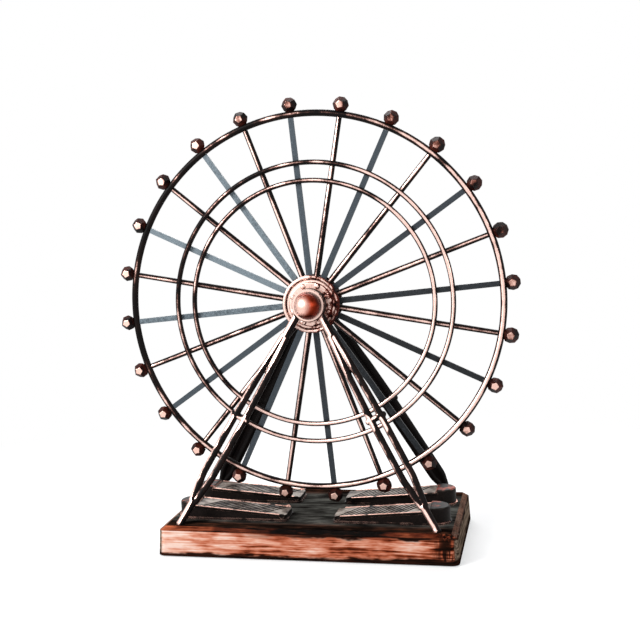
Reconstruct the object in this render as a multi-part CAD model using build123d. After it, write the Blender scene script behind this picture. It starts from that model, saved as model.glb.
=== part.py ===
from build123d import *

import os
from math import atan2, cos, hypot, pi, radians, sin, tan

# A die-cast desk-top observation wheel in antique copper finish, all sizes in millimetres.
# Origin: middle of the plinth's underside. +Z is up, the front faces -Y, the axle lies along Y.

# ---- Plinth -------------------------------------------------------------------------------
plinth_width = 111.0          # along X at the foot
plinth_depth = 65.0           # along Y at the foot
plinth_top = 11.2             # height of the top face above the table
plinth_lift = 0.4             # how far the pad holds the casting off the table
plinth_draft = 0.6            # lean of each side between foot and shoulder
shoulder_width = 2.3          # bevel round the top face, seen from above
shoulder_drop = 1.4           # height of that bevel
plinth_corner = 3.0           # radius of the upright corners at the foot
plinth_least_corner = 0.5     # the same where the inset leaves less
plinth_edge = 0.45            # rounding where the bevel meets the top face
pad_thickness = 1.0
pad_border = 2.5              # width of the casting's rim round the pad

# ---- Boarding ramps -----------------------------------------------------------------------
ramp_inner_end = 9.0          # distance of the low end from the middle of the plinth
ramp_end_inset = 4.3          # round high end, from the plinth's foot
ramp_gap = 7.2                # half of the channel in which the wheel hangs
ramp_width = 12.2
ramp_low = 2.2                # height of the low end above the plinth
ramp_high = 5.1               # height of the tread where it meets the landing
landing_length = 7.4          # round landing at the high end
landing_height = 6.1          # its height above the plinth
landing_edge = 0.8            # rounding of its upper edge
ramp_corner = 1.6             # plan radius of the low end's corners
ramp_foot_height = 0.6        # lip round the foot of each ramp
ramp_foot_lip = 0.5
bead_radius = 0.5             # bead along each long edge of the tread
bead_rise = 0.2               # how far it stands above the tread
knob_radius = 1.0             # round end of that bead at the low end
groove_pitch = 2.0            # tread grooves, measured along the ramp
groove_width = 0.9
groove_depth = 0.4
groove_slant = 32.0           # degrees from straight across
groove_border = 1.1           # smooth strip left at each side of the tread

# ---- Axle and bearings --------------------------------------------------------------------
axle_radius = 2.0
running_clearance = 0.05      # radial, between the axle and the turning hub
fixed_clearance = 0.03        # round and behind pieces that are fixed to each other
ball_radius = 4.9             # polished ball at each end of the axle
ball_seat_radius = 4.1        # flat on the back of each ball
bearing_radius = 6.2
bearing_length = 4.6
bearing_wall = 1.0            # wall round the recess that takes the ball
bearing_recess = 1.5
bearing_edge = 0.35
washer_radius = 3.6
washer_thickness = 0.3
washer_play = 0.05            # end play on each side of a washer
nut_grip = 3.0                # how far the axle goes into the rear ball

# ---- Legs ---------------------------------------------------------------------------------
foot_side_inset = 8.0         # middle of each foot, from the plinth's left or right foot edge
foot_face_inset = 4.9         # and from its front or rear foot edge
strap_offset = 2.4            # where a leg's middle line passes beside the axle
strap_radius = 1.5
strap_length = 13.0           # from the axle's level to the fork of the twin bars
crossbar_reach = 47.7         # from the axle's level to the crossbar, along the leg
bar_radius = 1.3              # each of the twin bars
fork_spread = 0.6             # half distance between the twin bars at fork and join
upper_spread = 1.55           # the same half way between fork and crossbar
crossbar_spread = 2.0         # the same at the crossbar
lower_spread = 1.95           # the same where the bars start to close on the stub
front_stub_length = 9.8       # single round bar above each front foot
front_taper_length = 11.5     # from its join with the twin bars up to their lower spread
rear_stub_length = 4.0        # the same two lengths of the rear legs,
rear_taper_length = 5.0       # which stay broad nearly to the foot
knee_radius = 1.55            # ball at the join
stub_top_radius = 1.5
crossbar_radius = 1.25
crossbar_overhang = 0.9       # round ends of the crossbar beyond the bars' middle lines
bar_bend = 12.0               # radius of the bends in the twin bars
stub_radius = 1.3
foot_radius = 1.5
foot_height = 1.0
web_thickness = 1.3           # web that closes the window of each rear leg
spigot_radius = 1.2
spigot_length = 4.5
screw_radius = 0.7
screw_length = 6.0
screw_head_radius = 1.7
screw_head_height = 1.1
counterbore_clearance = 0.25

# ---- Wheel --------------------------------------------------------------------------------
wheel_clearance = 1.9         # between the plinth and a capsule that passes over it
rim_radius = 70.7             # to the middle of the rim's wire
rim_wire = 1.25               # radius of that wire
outer_ring_radius = 52.7
ring_spacing = 6.7            # from the outer ring in to the inner one
ring_wire = 0.95
spoke_set_back = 0.6          # middle of the round spokes behind the middle of the rim
spoke_hub_radius = 1.2        # round spokes taper from hub
spoke_rim_radius = 1.0        # to rim
strip_hub_width = 2.3         # flat spokes between the round ones
strip_rim_width = 2.0
strip_thickness = 1.0
spokes_of_each_kind = 12
first_spoke_angle = 20.0      # degrees from +X to the first round spoke, seen from the front
capsule_radius = 3.0          # twelve-faced capsules, to the corners round the middle
capsule_length = 5.6          # along the axle
capsule_face_radius = 1.45    # to the corners of the small facet at each end
capsule_seat = 0.3            # how far a capsule's saddle reaches over the rim
drum_radius = 9.3             # hub drum that the spokes butt against
drum_length = 6.0
flange_radius = 10.9
flange_thickness = 1.6        # at the washer's seat
flange_ring_radius = 0.8      # half-round ring on the flange's edge
flange_groove_inner = 8.4     # groove inside the ring
flange_groove_height = 0.35
flange_field_height = 1.0     # raised field that carries the bolt heads
flange_field_edge = 0.3
flange_seat_radius = 4.2
flange_bolts = 8              # domed cast bolt heads on the field
flange_bolt_circle = 7.3
flange_bolt_radius = 0.9
flange_bolt_height = 0.55
flange_bolt_crown = 0.5       # rounding of each head's upper edge

# ---- Worked out from the sizes above ------------------------------------------------------
hub_half = drum_length / 2 + flange_thickness
bearing_near = hub_half + washer_thickness + 2 * washer_play
bearing_far = bearing_near + bearing_length
bearing_middle = (bearing_near + bearing_far) / 2
ball_seat = bearing_far - bearing_recess
ball_centre = ball_seat + (ball_radius**2 - ball_seat_radius**2) ** 0.5
ring_setback = spoke_set_back - spoke_rim_radius - ring_wire - fixed_clearance
strip_front = spoke_set_back - spoke_rim_radius
capsule_flat = capsule_radius * cos(pi / 10)
capsule_circle = rim_radius + rim_wire + capsule_flat - capsule_seat
axle_height = plinth_top + wheel_clearance + capsule_circle + capsule_radius
inner_ring_radius = outer_ring_radius - ring_spacing
ramp_outer_end = plinth_width / 2 - ramp_end_inset
foot_x = plinth_width / 2 - foot_side_inset
foot_y = plinth_depth / 2 - foot_face_inset
spoke_start = drum_radius + fixed_clearance
spoke_end = rim_radius - rim_wire - fixed_clearance
pad_recess = pad_thickness - plinth_lift
leg_lean = atan2(foot_y - bearing_middle, axle_height - plinth_top)
leg_run = (axle_height - plinth_top) / cos(leg_lean)
leg_length = hypot(foot_x - strap_offset, leg_run)
leg_along = ((foot_x - strap_offset) / leg_length, leg_run / leg_length)
socket_depth = spigot_length + fixed_clearance
screw_seat = plinth_top - socket_depth - (screw_length - spigot_length / 2)

UPRIGHT = (Align.CENTER, Align.CENTER, Align.MIN)


# ---- Helpers ------------------------------------------------------------------------------
def along_y(shape, y):
    """A shape drawn along +Z, laid along +Y with its base at y on the axle's line."""
    return Pos(0, y, axle_height) * Rot(-90, 0, 0) * shape


def bar(start, end, start_radius, end_radius):
    """Round bar between two points that tapers from one radius to the other."""
    run = Vector(*end) - Vector(*start)
    frame = Plane(origin=start, z_dir=run)
    if start_radius == end_radius:
        return frame * Cylinder(start_radius, run.length, align=UPRIGHT)
    return frame * Cone(start_radius, end_radius, run.length, align=UPRIGHT)


def turned(outline):
    """Solid of revolution about +Z of an outline given as (radius, height) points."""
    return revolve(Plane.XZ * make_face(Polyline(*outline, close=True)), Axis.Z)


def polyhedron(faces):
    """Closed solid from flat faces, each a list of corner points."""
    return Solid(Shell([Face(Wire.make_polygon(corners, close=True)) for corners in faces]))


def on_wheel(angle, radius, y):
    """Point at an angle in degrees and a radius from the axle, at depth y."""
    turn = radians(angle)
    return (radius * cos(turn), y, axle_height + radius * sin(turn))


# ---- Plinth and pad -----------------------------------------------------------------------
def plinth_section(height, inset):
    corner = max(plinth_corner - inset, plinth_least_corner)
    outline = RectangleRounded(plinth_width - 2 * inset, plinth_depth - 2 * inset, corner)
    return Plane.XY.offset(height) * outline


def feet():
    """Middle of each foot on the plinth's top face."""
    return [(side * foot_x, face * foot_y) for face in (-1, 1) for side in (-1, 1)]


def plinth():
    """Casting with drafted sides, a bevelled shoulder, four leg sockets and a pad recess."""
    shoulder = plinth_top - shoulder_drop
    sections = [
        plinth_section(plinth_lift, 0),
        plinth_section(shoulder, plinth_draft),
        plinth_section(plinth_top, plinth_draft + shoulder_width),
    ]
    body = loft(sections, ruled=True)
    body = fillet(body.edges().group_by(Axis.Z)[-1], plinth_edge)
    body -= Pos(0, 0, plinth_lift) * pad_block(pad_recess, 0)
    for x, y in feet():
        socket = Cylinder(spigot_radius + fixed_clearance, socket_depth, align=UPRIGHT)
        body -= Pos(x, y, plinth_top - socket_depth) * socket
        body -= Pos(x, y, 0) * Cylinder(screw_radius + fixed_clearance, plinth_top, align=UPRIGHT)
        head = Cylinder(screw_head_radius + counterbore_clearance, screw_seat, align=UPRIGHT)
        body -= Pos(x, y, 0) * head
    return body


def pad_block(height, clearance):
    inset = pad_border + clearance
    outline = RectangleRounded(plinth_width - 2 * inset, plinth_depth - 2 * inset, plinth_corner)
    return extrude(outline, height)


def base_pad():
    """Soft pad glued into the recess under the plinth."""
    return pad_block(pad_thickness, fixed_clearance)


def leg_screws():
    """Four screws that pull the legs' spigots down into the plinth."""
    screws = []
    for x, y in feet():
        shank = Pos(x, y, screw_seat) * Cylinder(screw_radius, screw_length, align=UPRIGHT)
        head = Cylinder(screw_head_radius, screw_head_height, align=UPRIGHT)
        screws.append(shank + Pos(x, y, screw_seat - screw_head_height) * head)
    return Compound(children=screws)


# ---- Boarding ramps -----------------------------------------------------------------------
def ramp_height(x):
    """Height of the tread above the plinth at a distance from the middle."""
    rise = (ramp_high - ramp_low) / (ramp_outer_end - landing_length - ramp_inner_end)
    return ramp_low + rise * (x - ramp_inner_end)


def ramp_plan(grow):
    """Plan of a ramp on its middle line: small corners at the low end, half round at the high."""
    half = ramp_width / 2 + grow
    low = ramp_inner_end - grow
    high = ramp_outer_end + grow
    corner = ramp_corner + grow
    with BuildSketch() as plan:
        with BuildLine():
            Line((low, corner - half), (low, half - corner))
            RadiusArc((low, half - corner), (low + corner, half), corner)
            Line((low + corner, half), (high - half, half))
            RadiusArc((high - half, half), (high - half, -half), half)
            Line((high - half, -half), (low + corner, -half))
            RadiusArc((low + corner, -half), (low, corner - half), corner)
        make_face()
    return plan.sketch


def ramp_grooves(slant):
    """Slanted cuts across the tread, which follow its rise."""
    half = ramp_width / 2 - groove_border
    shift = half * tan(radians(slant))
    cuts = []
    x = ramp_inner_end + groove_border + abs(shift) + groove_width
    while x < ramp_outer_end - landing_length - abs(shift) - groove_width:
        corners = [
            (x - shift - groove_width / 2, -half),
            (x - shift + groove_width / 2, -half),
            (x + shift + groove_width / 2, half),
            (x + shift - groove_width / 2, half),
        ]
        floor = ramp_height(x) - groove_depth
        cuts.append(Pos(0, 0, floor) * extrude(make_face(Polyline(*corners, close=True)), ramp_high))
        x += groove_pitch
    return cuts


def ramp_block():
    """Tread that rises to a raised landing with a half-round outer end and a rounded edge."""
    step = ramp_outer_end - landing_length
    sky = 2 * landing_height
    over = Polyline(
        (ramp_inner_end - ramp_width, ramp_height(ramp_inner_end - ramp_width)),
        (step, ramp_height(step)),
        (step, landing_height),
        (ramp_outer_end + ramp_width, landing_height),
        (ramp_outer_end + ramp_width, sky),
        (ramp_inner_end - ramp_width, sky),
        close=True,
    )
    block = extrude(ramp_plan(0), landing_height + landing_edge)
    block -= extrude(Plane.XZ * make_face(over), ramp_width, both=True)
    return fillet(block.edges().group_by(Axis.Z)[-1], landing_edge)


def ramp(side, face):
    """Wedge with a grooved tread, beaded long edges and a lip round its foot."""
    body = ramp_block()
    body -= ramp_grooves(side * groove_slant)
    body += extrude(ramp_plan(ramp_foot_lip), ramp_foot_height)
    edge = ramp_width / 2
    low = ramp_inner_end + ramp_corner
    high = ramp_outer_end - landing_length
    for across in (-edge, edge):
        start = (low, across, ramp_height(low) + bead_rise - bead_radius)
        end = (high + bead_radius, across, ramp_height(high) + bead_rise - bead_radius)
        body += bar(start, end, bead_radius, bead_radius)
        body += Pos(*start) * Sphere(knob_radius)
        body += Pos(*end) * Sphere(bead_radius)
    if side < 0:
        body = body.mirror(Plane.YZ)
    return Pos(0, face * (ramp_gap + edge), plinth_top) * body


# ---- Legs ---------------------------------------------------------------------------------
def on_leg(side, face, distance, spread):
    """Point on a leg: distance down its middle line, spread to its outer side."""
    u = strap_offset + distance * leg_along[0] + spread * leg_along[1]
    v = distance * leg_along[1] - spread * leg_along[0]
    y = bearing_middle + v * sin(leg_lean)
    return (side * u, face * y, axle_height - v * cos(leg_lean))


def bearing_blank(y, length, radius):
    return along_y(Cylinder(radius, length, align=UPRIGHT), y)


def leg_foot(face):
    """Length of the stub above a foot and of the taper above that stub."""
    if face < 0:
        return front_stub_length, front_taper_length
    return rear_stub_length, rear_taper_length


def leg_stations(face):
    """Distance down a leg and half spread of its twin bars, from the fork to the join."""
    stub_length, taper_length = leg_foot(face)
    join = leg_length - stub_length
    return [
        (strap_length, fork_spread),
        ((strap_length + crossbar_reach) / 2, upper_spread),
        (crossbar_reach, crossbar_spread),
        (join - taper_length, lower_spread),
        (join, fork_spread),
    ]


def twin_bar(side, face, way):
    """One of the two bowed bars between the fork and the stub, swept round its bends."""
    points = [on_leg(side, face, distance, way * spread) for distance, spread in leg_stations(face)]
    path = FilletPolyline(*points, radius=bar_bend)
    section = Plane(origin=path @ 0, z_dir=path % 0) * Circle(bar_radius)
    return sweep(section, path=path)


def leg(side, face):
    """Strap from the bearing, twin bowed bars with a crossbar, a stub, a foot and its spigot."""
    join = leg_stations(face)[-1][0]
    fork = on_leg(side, face, strap_length, 0)
    knee = on_leg(side, face, join, 0)
    ankle = (side * foot_x, face * foot_y, plinth_top + foot_height / 2)
    reach = crossbar_spread + crossbar_overhang
    body = bar(on_leg(side, face, 0, 0), fork, strap_radius, strap_radius)
    body += Pos(*fork) * Sphere(strap_radius)
    body += twin_bar(side, face, 1)
    body += twin_bar(side, face, -1)
    ends = [on_leg(side, face, crossbar_reach, way * reach) for way in (-1, 1)]
    body += bar(ends[0], ends[1], crossbar_radius, crossbar_radius)
    body += [Pos(*end) * Sphere(crossbar_radius) for end in ends]
    body += Pos(*knee) * Sphere(knee_radius)
    body += bar(knee, ankle, stub_top_radius, stub_radius)
    if face > 0:
        body += leg_web(side, face)
    foot = Cylinder(foot_radius, foot_height, align=UPRIGHT)
    spigot = Cylinder(spigot_radius, spigot_length, align=UPRIGHT)
    thread = Cylinder(screw_radius + fixed_clearance, spigot_length / 2, align=UPRIGHT)
    spot = Pos(side * foot_x, face * foot_y, plinth_top)
    below = Box(plinth_width, plinth_depth, plinth_top, align=UPRIGHT)
    body -= below
    body += spot * foot
    body += spot * Pos(0, 0, -spigot_length) * spigot
    body -= spot * Pos(0, 0, -spigot_length) * thread
    near = min(face * bearing_near, face * bearing_far)
    return body - bearing_blank(near - bearing_length, 3 * bearing_length, bearing_radius + fixed_clearance)


def leg_web(side, face):
    """Thin plate that fills the window between the twin bars."""
    outer = leg_stations(face)
    inner = [(distance, -spread) for distance, spread in reversed(outer)]
    corners = [on_leg(side, face, distance, spread) for distance, spread in outer + inner]
    plate = Face(Wire.make_polygon(corners, close=True))
    return extrude(plate, web_thickness / 2, both=True)


# ---- Axle and bearings --------------------------------------------------------------------
def bearing(face):
    """Round bearing boss with a recess on its outer side in which the ball sits."""
    wall = bearing_radius - bearing_wall
    boss = turned([
        (axle_radius + fixed_clearance, 0),
        (bearing_radius, 0),
        (bearing_radius, bearing_length - bearing_edge),
        (bearing_radius - bearing_edge, bearing_length),
        (wall, bearing_length),
        (wall, bearing_length - bearing_recess),
        (axle_radius + fixed_clearance, bearing_length - bearing_recess),
    ])
    if face < 0:
        boss = boss.mirror(Plane.XY)
    return along_y(boss, face * bearing_near)


def truncated_ball(face):
    """Ball with a flat on its inner side, at its place on the axle."""
    ball = Pos(0, face * ball_centre, axle_height) * Sphere(ball_radius)
    flat = Box(4 * ball_radius, 2 * ball_seat, 4 * ball_radius)
    return ball - Pos(0, 0, axle_height) * flat


def axle_pin():
    """Axle with its polished ball head at the front."""
    shaft = along_y(Cylinder(axle_radius, 2 * ball_seat + nut_grip, align=UPRIGHT), -ball_seat)
    return shaft + truncated_ball(-1)


def axle_nut():
    """Ball nut on the rear end of the axle."""
    bore = Cylinder(axle_radius + fixed_clearance, nut_grip + fixed_clearance, align=UPRIGHT)
    return truncated_ball(1) - along_y(bore, ball_seat)


def thrust_washers():
    """One washer on each side of the hub."""
    ring = turned([
        (axle_radius + running_clearance, 0),
        (washer_radius, 0),
        (washer_radius, washer_thickness),
        (axle_radius + running_clearance, washer_thickness),
    ])
    start = hub_half + washer_play
    pair = [along_y(ring, start), along_y(ring, -start - washer_thickness)]
    return Compound(children=pair)


# ---- Wheel --------------------------------------------------------------------------------
def hub_drum():
    """Drum on the axle that carries all spokes."""
    bore = axle_radius + running_clearance
    half = drum_length / 2
    return along_y(turned([(bore, -half), (drum_radius, -half), (drum_radius, half), (bore, half)]), 0)


def hub_flange(face):
    """Flange with a raised edge ring, a groove, cast bolt heads and a washer seat."""
    bore = axle_radius + running_clearance
    ring_middle = flange_radius - flange_ring_radius
    ring_height = flange_ring_radius / 2
    disc = turned([
        (bore, 0),
        (flange_radius, 0),
        (flange_radius, ring_height),
        (ring_middle, ring_height),
        (ring_middle, flange_groove_height),
        (flange_groove_inner, flange_groove_height),
        (flange_groove_inner - flange_field_edge, flange_field_height),
        (flange_seat_radius + flange_field_edge, flange_field_height),
        (flange_seat_radius, flange_thickness),
        (bore, flange_thickness),
    ])
    lower = Cylinder(flange_radius, flange_ring_radius, align=(Align.CENTER, Align.CENTER, Align.MAX))
    disc += Pos(0, 0, ring_height) * Torus(ring_middle, flange_ring_radius) - lower
    head = Cylinder(flange_bolt_radius, flange_bolt_height, align=UPRIGHT)
    head = fillet(head.edges().group_by(Axis.Z)[-1], flange_bolt_crown)
    for step in range(flange_bolts):
        turn = radians(360 / flange_bolts * (step + 0.5))
        spot = (flange_bolt_circle * cos(turn), flange_bolt_circle * sin(turn), flange_field_height)
        disc += Pos(*spot) * head
    if face < 0:
        disc = disc.mirror(Plane.XY)
    return along_y(disc, face * drum_length / 2)


def wire_ring(radius, wire, y):
    """Closed ring of round wire about the axle."""
    return Pos(0, y, axle_height) * Rot(90, 0, 0) * Torus(radius, wire)


def round_spoke(number):
    """Tapered round spoke from the drum to the rim."""
    angle = first_spoke_angle + 360 / spokes_of_each_kind * number
    start = on_wheel(angle, spoke_start, spoke_set_back)
    end = on_wheel(angle, spoke_end, spoke_set_back)
    return bar(start, end, spoke_hub_radius, spoke_rim_radius)


def flat_spokes():
    """Tapered flat strips half way between the round spokes."""
    outline = [
        (spoke_start, -strip_hub_width / 2),
        (spoke_end, -strip_rim_width / 2),
        (spoke_end, strip_rim_width / 2),
        (spoke_start, strip_hub_width / 2),
    ]
    strip = extrude(make_face(Polyline(*outline, close=True)), strip_thickness)
    step = 360 / spokes_of_each_kind
    strips = []
    for number in range(spokes_of_each_kind):
        angle = first_spoke_angle + step * (number + 0.5)
        place = Pos(0, strip_front, axle_height) * Rot(-90, 0, 0) * Rot(0, 0, -angle)
        strips.append(place * strip)
    return Compound(children=strips)


def capsule_blank():
    """Twelve-faced capsule about its own middle: a small facet at each end, five faces towards each.

    A side face is flat when its front edge, its two outer corners and its rear corner lie in
    one plane, which fixes how far the corners round the middle zigzag along the axle.
    """
    fifth = 2 * pi / 5
    flat = cos(fifth / 2)
    narrowing = (capsule_radius - capsule_face_radius) * flat / (capsule_radius * (1 - flat))
    end = capsule_length / 2
    zigzag = end / (1 + 2 * narrowing)

    def corners(radius, y, first):
        turns = [first + fifth * step for step in range(5)]
        return [Vector(radius * cos(turn), y, radius * sin(turn)) for turn in turns]

    front = corners(capsule_face_radius, -end, fifth / 4)
    outer = corners(capsule_radius, -zigzag, fifth / 4)
    inner = corners(capsule_radius, zigzag, fifth * 3 / 4)
    back = corners(capsule_face_radius, end, fifth * 3 / 4)
    faces = [front, back]
    for step in range(5):
        after = (step + 1) % 5
        faces.append([front[step], outer[step], inner[step], outer[after], front[after]])
        faces.append([back[step], inner[step], outer[after], inner[after], back[after]])
    return polyhedron(faces)


def capsules():
    """All capsules in turn, each with a saddle that fits over the rim."""
    rim = Rot(90, 0, 0) * Torus(rim_radius, rim_wire + fixed_clearance)
    blank = Pos(capsule_circle, 0, 0) * capsule_blank() - rim
    step = 180 / spokes_of_each_kind
    turns = [first_spoke_angle + step * number for number in range(2 * spokes_of_each_kind)]
    return [Pos(0, 0, axle_height) * Rot(0, -turn, 0) * blank for turn in turns]


# ---- Every piece under its own name -------------------------------------------------------
def pieces():
    parts = {
        "base_plinth": plinth(),
        "base_pad": base_pad(),
        "leg_screws": leg_screws(),
        "axle_pin": axle_pin(),
        "axle_ball_nut": axle_nut(),
        "thrust_washers": thrust_washers(),
        "hub_drum": hub_drum(),
        "wheel_rim": wire_ring(rim_radius, rim_wire, 0),
        "wheel_outer_ring": wire_ring(outer_ring_radius, ring_wire, ring_setback),
        "wheel_inner_ring": wire_ring(inner_ring_radius, ring_wire, ring_setback),
        "flat_spokes": flat_spokes(),
    }
    for face, end in ((-1, "front"), (1, "rear")):
        parts[f"bearing_{end}"] = bearing(face)
        parts[f"hub_flange_{end}"] = hub_flange(face)
        for side, hand in ((-1, "left"), (1, "right")):
            parts[f"ramp_{end}_{hand}"] = ramp(side, face)
            parts[f"leg_{end}_{hand}"] = leg(side, face)
    for number in range(spokes_of_each_kind):
        parts[f"round_spoke_{number + 1:02d}"] = round_spoke(number)
    for number, piece in enumerate(capsules(), start=1):
        parts[f"capsule_{number:02d}"] = piece
    return parts


os.makedirs("parts", exist_ok=True)
for name, shape in pieces().items():
    export_step(shape, f"parts/{name}.step")
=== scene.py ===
import logging
import math
from dataclasses import dataclass, replace
from enum import Enum

import bmesh
import bpy
from mathutils import Matrix, Vector


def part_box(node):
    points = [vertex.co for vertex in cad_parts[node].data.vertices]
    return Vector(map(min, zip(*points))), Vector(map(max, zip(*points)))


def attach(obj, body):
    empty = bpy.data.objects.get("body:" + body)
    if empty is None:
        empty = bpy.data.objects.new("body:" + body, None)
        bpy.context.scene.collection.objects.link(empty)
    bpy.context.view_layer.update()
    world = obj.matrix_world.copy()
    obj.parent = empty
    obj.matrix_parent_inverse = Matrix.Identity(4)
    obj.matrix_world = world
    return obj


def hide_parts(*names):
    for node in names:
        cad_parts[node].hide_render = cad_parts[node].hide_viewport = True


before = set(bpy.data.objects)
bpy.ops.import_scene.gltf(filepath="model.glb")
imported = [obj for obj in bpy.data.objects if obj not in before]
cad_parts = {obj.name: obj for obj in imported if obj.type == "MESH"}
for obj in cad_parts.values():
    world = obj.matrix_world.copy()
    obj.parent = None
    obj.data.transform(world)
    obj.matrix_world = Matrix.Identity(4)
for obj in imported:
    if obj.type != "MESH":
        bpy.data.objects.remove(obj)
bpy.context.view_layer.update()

LOG = logging.getLogger("observation_wheel")
MM = 0.001


class Body(Enum):
    """The two bodies that the pieces ride on."""

    STAND = "stand"
    WHEEL = "wheel"


class Slot(Enum):
    """Names of two material slots, which nothing in this script reads."""

    ANTIQUE = "antique_copper"
    RUBBED = "rubbed_copper"


# ---- Colour and node helpers --------------------------------------------------------------
def linear(colour: str) -> tuple[float, float, float, float]:
    """Turn an sRGB hex colour into linear light.

    Args:
        colour: The colour as "#rrggbb".

    Returns:
        Red, green, blue and an alpha of 1, in linear light.
    """
    channels = [int(colour[i : i + 2], 16) / 255 for i in (1, 3, 5)]
    light = [c / 12.92 if c <= 0.04045 else ((c + 0.055) / 1.055) ** 2.4 for c in channels]
    return (light[0], light[1], light[2], 1.0)


def add_node(
    tree: bpy.types.NodeTree,
    kind: str,
    links: dict[str | int, bpy.types.NodeSocket] | None = None,
    values: dict[str | int, object] | None = None,
    **settings: object,
) -> bpy.types.Node:
    """Add a node with its settings, values and links.

    Args:
        tree: The tree that gets the node.
        kind: The node's type name.
        links: Input name or number to the socket that feeds it.
        values: Input name or number to its fixed value.
        **settings: Properties of the node itself.

    Returns:
        The new node.
    """
    node = tree.nodes.new(kind)
    for name, value in settings.items():
        setattr(node, name, value)
    for key, value in (values or {}).items():
        node.inputs[key].default_value = value
    for key, source in (links or {}).items():
        tree.links.new(source, node.inputs[key])
    return node


def calculate(
    tree: bpy.types.NodeTree,
    operation: str,
    *operands: bpy.types.NodeSocket | float,
) -> bpy.types.NodeSocket:
    """Join numbers by one operation.

    Args:
        tree: The tree that gets the node.
        operation: Name of the operation, such as "ADD".
        *operands: The numbers or the sockets that give them, in the operation's order.

    Returns:
        The result.
    """
    node = add_node(tree, "ShaderNodeMath", operation=operation)
    for place, operand in enumerate(operands):
        if isinstance(operand, bpy.types.NodeSocket):
            tree.links.new(operand, node.inputs[place])
        else:
            node.inputs[place].default_value = operand
    return node.outputs[0]


def fit(
    tree: bpy.types.NodeTree,
    source: bpy.types.NodeSocket,
    low: float,
    high: float,
    to_low: float = 0.0,
    to_high: float = 1.0,
) -> bpy.types.NodeSocket:
    """Map a value smoothly from one range to another and hold it there.

    Args:
        tree: The tree that gets the node.
        source: The value.
        low: Where the change starts.
        high: Where the change ends.
        to_low: The result up to low.
        to_high: The result from high on.

    Returns:
        The mapped value.
    """
    node = add_node(
        tree,
        "ShaderNodeMapRange",
        {"Value": source},
        {"From Min": low, "From Max": high, "To Min": to_low, "To Max": to_high},
        interpolation_type="SMOOTHSTEP",
    )
    return node.outputs["Result"]


def ramp(
    tree: bpy.types.NodeTree,
    source: bpy.types.NodeSocket,
    stops: list[tuple[float, str]],
) -> bpy.types.NodeSocket:
    """Map a value through colour stops.

    Args:
        tree: The tree that gets the node.
        source: The value.
        stops: Positions from 0 to 1 with their sRGB hex colours.

    Returns:
        The colour.
    """
    node = add_node(tree, "ShaderNodeValToRGB", {"Fac": source})
    elements = node.color_ramp.elements
    while len(elements) < len(stops):
        elements.new(0.5)
    for element, (position, colour) in zip(elements, stops):
        element.position = position
        element.color = linear(colour)
    return node.outputs["Color"]


def blend_colours(
    tree: bpy.types.NodeTree,
    share: bpy.types.NodeSocket,
    first: bpy.types.NodeSocket,
    second: bpy.types.NodeSocket,
) -> bpy.types.NodeSocket:
    """Blend two colours.

    Args:
        tree: The tree that gets the node.
        share: 0 for the first colour, 1 for the second.
        first: The first colour.
        second: The second colour.

    Returns:
        The blended colour.
    """
    node = add_node(tree, "ShaderNodeMix", data_type="RGBA")
    # The colour sockets of this node come after those of its other data types.
    tree.links.new(share, node.inputs[0])
    tree.links.new(first, node.inputs[6])
    tree.links.new(second, node.inputs[7])
    return node.outputs[2]


def cloud(
    tree: bpy.types.NodeTree,
    place: bpy.types.NodeSocket,
    spot_mm: tuple[float, float, float],
    detail: float,
) -> bpy.types.NodeSocket:
    """Uneven pattern whose spots have a size in millimetres along each axis.

    Args:
        tree: The tree that gets the nodes.
        place: Object coordinates.
        spot_mm: Size of a typical spot along X, Y and Z.
        detail: How many finer layers the pattern has.

    Returns:
        The pattern, from 0 to 1.
    """
    scale = Vector([1 / (size * MM) for size in spot_mm])
    spread = add_node(tree, "ShaderNodeMapping", {"Vector": place}, {"Scale": scale})
    values = {"Scale": 1.0, "Detail": detail, "Roughness": 0.6}
    return add_node(tree, "ShaderNodeTexNoise", {"Vector": spread.outputs[0]}, values).outputs[0]


def start_material(name: str) -> tuple[bpy.types.Material, bpy.types.Node, bpy.types.Node]:
    """Make a material whose pattern will sit still on its piece.

    Args:
        name: The material's name.

    Returns:
        The material, its shader and the node that gives Object coordinates and normals.
    """
    material = bpy.data.materials.new(name)
    material.use_nodes = True
    tree = material.node_tree
    return material, tree.nodes["Principled BSDF"], add_node(tree, "ShaderNodeTexCoord")


def split(tree: bpy.types.NodeTree, vector: bpy.types.NodeSocket) -> bpy.types.NodeOutputs:
    """Split a vector.

    Args:
        tree: The tree that gets the node.
        vector: The vector.

    Returns:
        Its X, Y and Z.
    """
    return add_node(tree, "ShaderNodeSeparateXYZ", {0: vector}).outputs


def rest_of(tree: bpy.types.NodeTree, share: bpy.types.NodeSocket) -> bpy.types.NodeSocket:
    """Take a share from 1.

    Args:
        tree: The tree that gets the node.
        share: The share.

    Returns:
        What it leaves of 1.
    """
    return calculate(tree, "SUBTRACT", 1.0, share)


def swing(
    tree: bpy.types.NodeTree,
    pattern: bpy.types.NodeSocket,
    strength: bpy.types.NodeSocket | float,
    middle: bpy.types.NodeSocket | float,
) -> bpy.types.NodeSocket:
    """Let a pattern swing round a middle value.

    Args:
        tree: The tree that gets the nodes.
        pattern: Pattern from 0 to 1.
        strength: How much the result changes over the whole pattern.
        middle: The result where the pattern is 0.5.

    Returns:
        The swinging value.
    """
    centred = calculate(tree, "SUBTRACT", pattern, 0.5)
    return calculate(tree, "MULTIPLY_ADD", centred, strength, middle)


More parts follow.
